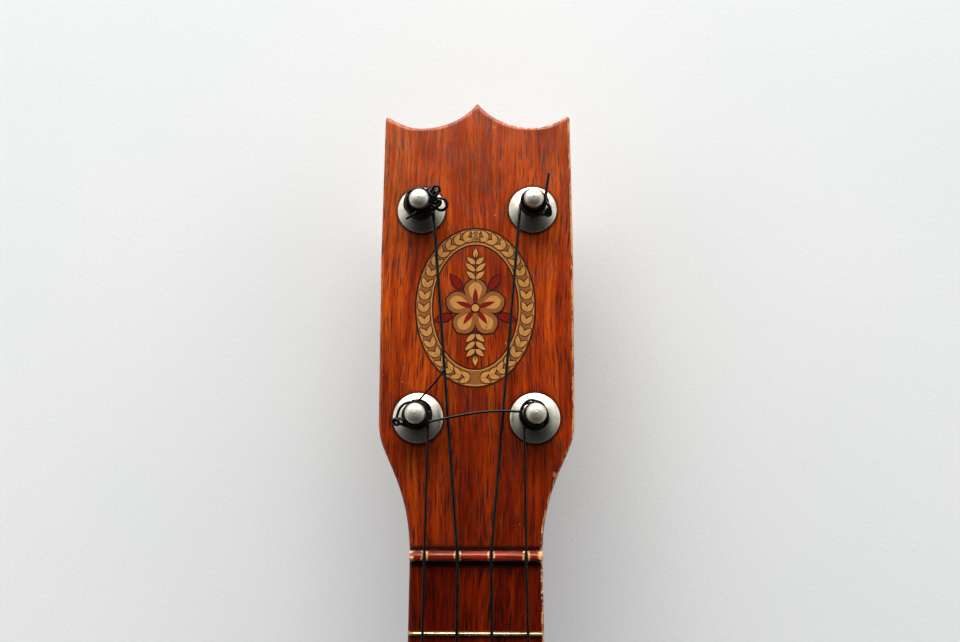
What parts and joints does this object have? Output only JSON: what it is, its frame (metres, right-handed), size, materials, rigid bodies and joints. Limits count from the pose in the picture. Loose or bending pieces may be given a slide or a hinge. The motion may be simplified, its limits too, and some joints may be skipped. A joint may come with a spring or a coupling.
{
  "type": "ukulele",
  "caption": "Plucked string instrument with a waisted hollow wooden body, round soundhole, fretted neck and a crown-topped headstock whose friction pegs turn to tune the strings.",
  "frame": {"origin": "on the plane that the back plate rests on, under the middle of the instrument's length and width", "axes": "+X towards the treble side, +Y from the tail to the headstock, +Z out of the soundboard, away from the back plate"},
  "size_m": [0.1588, 0.5486, 0.0671],
  "materials": {
    "koa": "gloss",
    "koa_dark": "gloss",
    "inner_wood": "matte",
    "inlay": "gloss",
    "nickel": "satin",
    "fret_wire": "satin",
    "celluloid": "gloss",
    "bone": "satin",
    "nylon": "gloss"
  },
  "bodies": {
    "instrument": {"soundboard": "koa", "back_plate": "koa", "rib_treble": "koa", "rib_bass": "koa", "neck": "koa", "bridge": "koa", "nut": "koa_dark", "rosette": "inlay", "neck_block": "inner_wood", "tail_block": "inner_wood", "top_lining_treble": "inner_wood", "back_lining_treble": "inner_wood", "top_lining_bass": "inner_wood", "back_lining_bass": "inner_wood", "top_brace_upper": "inner_wood", "top_brace_lower": "inner_wood", "back_brace_upper": "inner_wood", "back_brace_lower": "inner_wood", "bridge_plate": "inner_wood", "saddle": "bone", "fret_01": "fret_wire", "fret_02": "fret_wire", "fret_03": "fret_wire", "fret_04": "fret_wire", "fret_05": "fret_wire", "fret_06": "fret_wire", "fret_07": "fret_wire", "fret_08": "fret_wire", "fret_09": "fret_wire", "fret_10": "fret_wire", "fret_11": "fret_wire", "fret_12": "fret_wire", "front_washer_g": "nickel", "rear_washer_g": "nickel", "string_g": "nylon", "front_washer_c": "nickel", "rear_washer_c": "nickel", "string_c": "nylon", "front_washer_e": "nickel", "rear_washer_e": "nickel", "string_e": "nylon", "front_washer_a": "nickel", "rear_washer_a": "nickel", "string_a": "nylon"},
    "peg_g": {"post_g": "nickel", "button_g": "celluloid", "button_screw_g": "nickel", "winding_g": "nylon"},
    "peg_c": {"post_c": "nickel", "button_c": "celluloid", "button_screw_c": "nickel", "winding_c": "nylon"},
    "peg_e": {"post_e": "nickel", "button_e": "celluloid", "button_screw_e": "nickel", "winding_e": "nylon"},
    "peg_a": {"post_a": "nickel", "button_a": "celluloid", "button_screw_a": "nickel", "winding_a": "nylon"}
  },
  "joints": [
    {"name": "peg_g_turn", "type": "hinge", "parent": "instrument", "child": "peg_g", "pos_m": [-0.0165, 0.1785, 0.04743], "axis": [0, 0.1599, 0.9871], "continuous": true},
    {"name": "peg_c_turn", "type": "hinge", "parent": "instrument", "child": "peg_c", "pos_m": [-0.0165, 0.2398, 0.0375], "axis": [0, 0.1599, 0.9871], "continuous": true},
    {"name": "peg_e_turn", "type": "hinge", "parent": "instrument", "child": "peg_e", "pos_m": [0.0165, 0.2398, 0.0375], "axis": [0, 0.1599, 0.9871], "continuous": true},
    {"name": "peg_a_turn", "type": "hinge", "parent": "instrument", "child": "peg_a", "pos_m": [0.0165, 0.1785, 0.04743], "axis": [0, 0.1599, 0.9871], "continuous": true}
  ]
}
